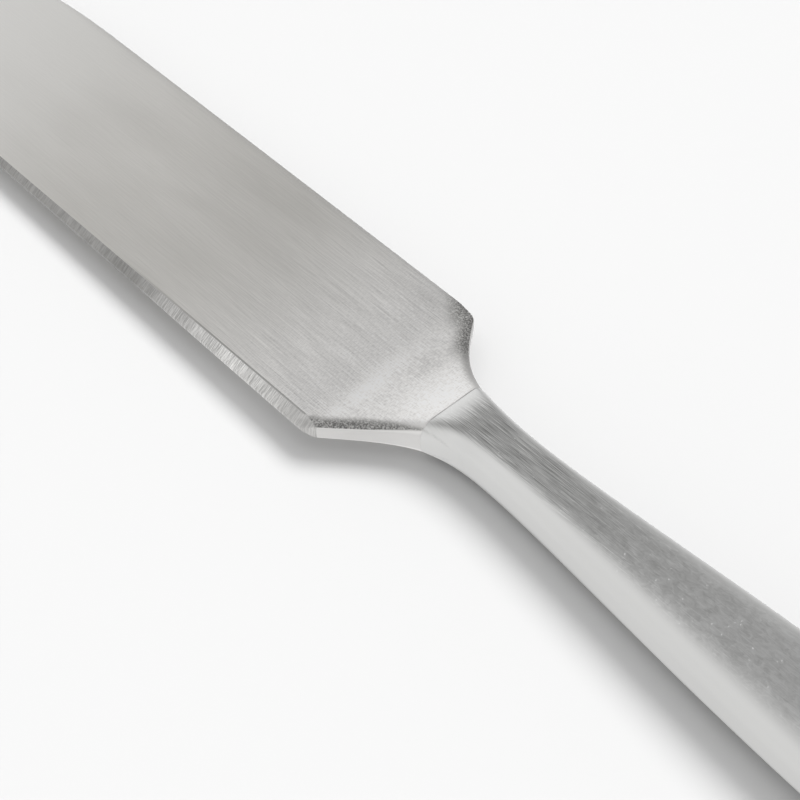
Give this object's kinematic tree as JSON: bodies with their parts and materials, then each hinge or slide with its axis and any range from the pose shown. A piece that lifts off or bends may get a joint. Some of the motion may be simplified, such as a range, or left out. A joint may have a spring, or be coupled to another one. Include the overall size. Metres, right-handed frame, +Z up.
{
  "type": "butter knife",
  "caption": "Butter knife with a broad round-nosed blade, a scooped shoulder and a hollow handle with a flat face.",
  "frame": {"origin": "under the middle of the knife's bounding box, on the plane of the handle's flat underside", "axes": "+X from the tip of the blade to the butt, +Y towards the back of the blade, +Z up; the blade lies parallel to the XY plane"},
  "size_m": [0.175, 0.02, 0.0071],
  "materials": {
    "blade_steel": "fine lengthwise brushing",
    "handle_steel": "satin, with faint lengthwise scratches",
    "cement": "matt, cast",
    "solder": "as flowed"
  },
  "bodies": {
    "root": {"blade": "blade_steel", "handle_upper_half": "handle_steel", "handle_lower_half": "handle_steel", "tang_cement": "cement", "handle_seam_solder": "solder"}
  },
  "joints": []
}
